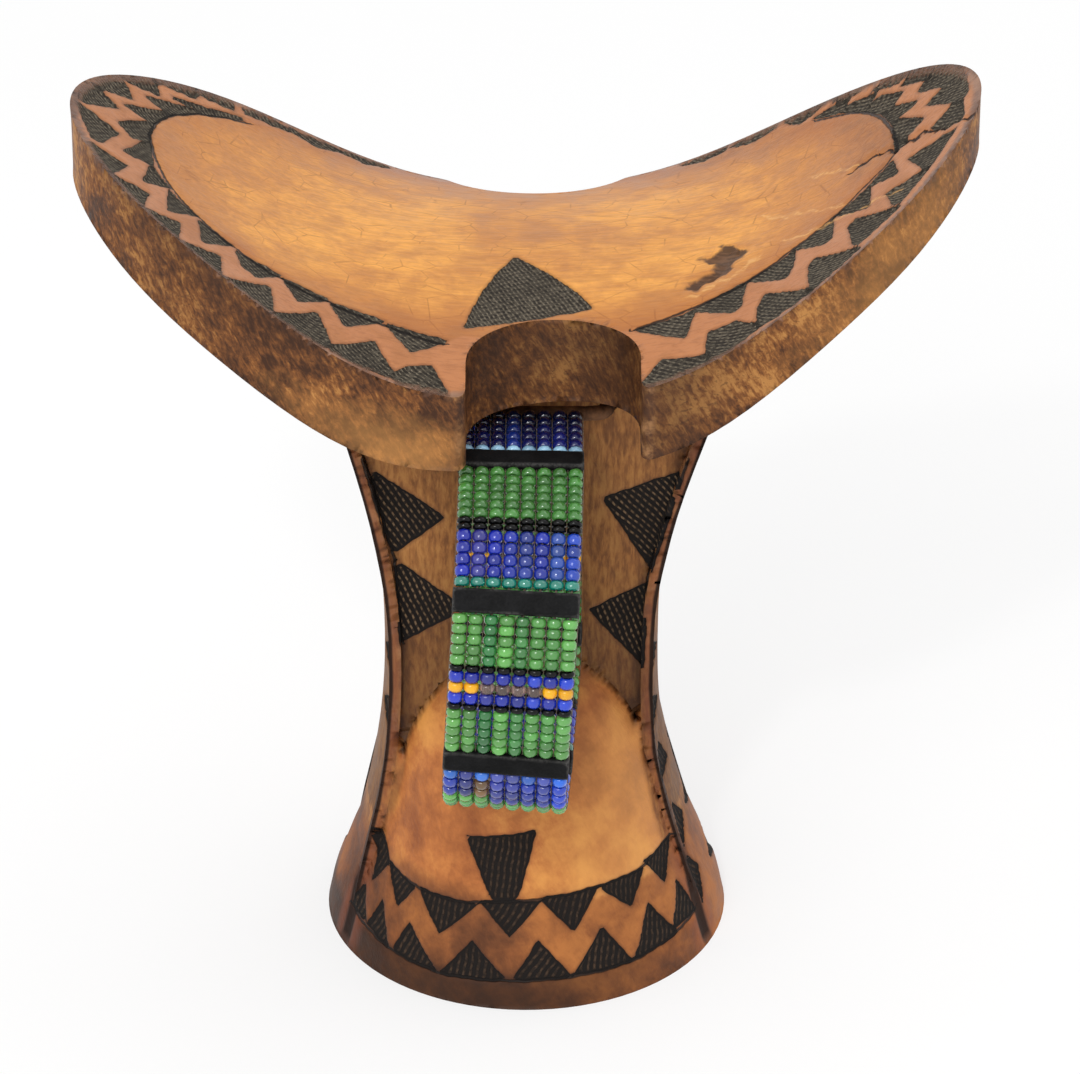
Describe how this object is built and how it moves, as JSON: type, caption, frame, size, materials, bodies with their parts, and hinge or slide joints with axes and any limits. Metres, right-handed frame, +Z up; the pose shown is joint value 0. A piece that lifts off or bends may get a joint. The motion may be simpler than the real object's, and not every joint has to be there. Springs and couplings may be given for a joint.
{
  "type": "carved headrest",
  "caption": "One-piece wooden headrest with a saddle top, waisted slab neck and round base, and a beaded hand loop hung on a leather thong through the neck.",
  "frame": {"origin": "centre of the round base's underside", "axes": "+Z up, -Y the front, where the bead loop hangs, +X to the right as seen from the front"},
  "size_m": [0.1744, 0.114, 0.186],
  "materials": {
    "carved_wood": "satin",
    "thong_leather": "matte",
    "bar_leather": "matte",
    "string": "matte",
    "green_glass": "gloss",
    "blue_glass": "gloss",
    "black_glass": "gloss",
    "teal_glass": "gloss",
    "pale_blue_glass": "gloss",
    "yellow_glass": "gloss",
    "clear_glass": "gloss"
  },
  "bodies": {
    "headrest": {"headrest_body": "carved_wood", "leather_thong": "thong_leather", "thong_knot": "thong_leather", "thong_tails": "thong_leather"},
    "bead_loop": {"bead_strings": "string", "black_beads_back_lower": "black_glass", "black_beads_back_upper": "black_glass", "black_beads_front_lower": "black_glass", "black_beads_front_upper": "black_glass", "blue_beads_back_lower": "blue_glass", "blue_beads_back_top": "blue_glass", "blue_beads_back_upper": "blue_glass", "blue_beads_fold": "blue_glass", "blue_beads_front_lower": "blue_glass", "blue_beads_front_top": "blue_glass", "blue_beads_front_upper": "blue_glass", "clear_beads_back_upper": "clear_glass", "clear_beads_front_lower": "clear_glass", "green_beads_back_lower": "green_glass", "green_beads_back_upper": "green_glass", "green_beads_fold": "green_glass", "green_beads_front_lower": "green_glass", "green_beads_front_upper": "green_glass", "pale_blue_beads_back_top": "pale_blue_glass", "pale_blue_beads_front_top": "pale_blue_glass", "spacer_bar_bottom_back": "bar_leather", "spacer_bar_bottom_front": "bar_leather", "spacer_bar_middle_back": "bar_leather", "spacer_bar_middle_front": "bar_leather", "spacer_bar_top_back": "bar_leather", "spacer_bar_top_front": "bar_leather", "teal_beads_back_lower": "teal_glass", "teal_beads_front_upper": "teal_glass", "yellow_beads_back_upper": "yellow_glass", "yellow_beads_front_lower": "yellow_glass"}
  },
  "joints": [
    {"name": "loop_swing", "type": "hinge", "parent": "headrest", "child": "bead_loop", "pos_m": [-0.0008, -0.0179, 0.124], "axis": [-1, 0, 0], "range_deg": [0, 9]}
  ]
}
